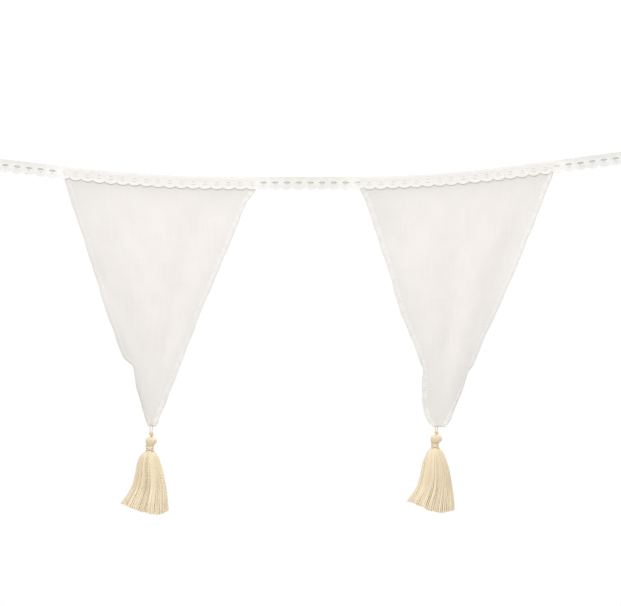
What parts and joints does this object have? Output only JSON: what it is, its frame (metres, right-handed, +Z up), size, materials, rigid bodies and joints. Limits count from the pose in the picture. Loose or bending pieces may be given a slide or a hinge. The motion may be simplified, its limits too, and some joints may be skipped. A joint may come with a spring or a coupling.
{
  "type": "fabric bunting",
  "caption": "Hanging string of hemmed triangular cotton flags sewn behind a scalloped lace tape, with a silky yarn tassel at the tip of each flag.",
  "frame": {"origin": "top edge of the lace tape, halfway along it, on the tape's back face", "axes": "+Z up, +X along the tape to the right as seen from the front, +Y to the back, so the front faces -Y"},
  "size_m": [0.6902, 0.032, 0.3671],
  "materials": {
    "lace_cotton": "matt white cotton lace",
    "flag_cotton": "matt off-white plain-weave cotton",
    "tassel_yarn": "silky beige-gold rayon yarn"
  },
  "bodies": {
    "root": {"lace_tape": "lace_cotton", "flag_left": "flag_cotton", "tassel_yarn_left": "tassel_yarn", "tassel_binding_left": "tassel_yarn", "tassel_hanger_left": "tassel_yarn", "flag_right": "flag_cotton", "tassel_yarn_right": "tassel_yarn", "tassel_binding_right": "tassel_yarn", "tassel_hanger_right": "tassel_yarn"}
  },
  "joints": []
}
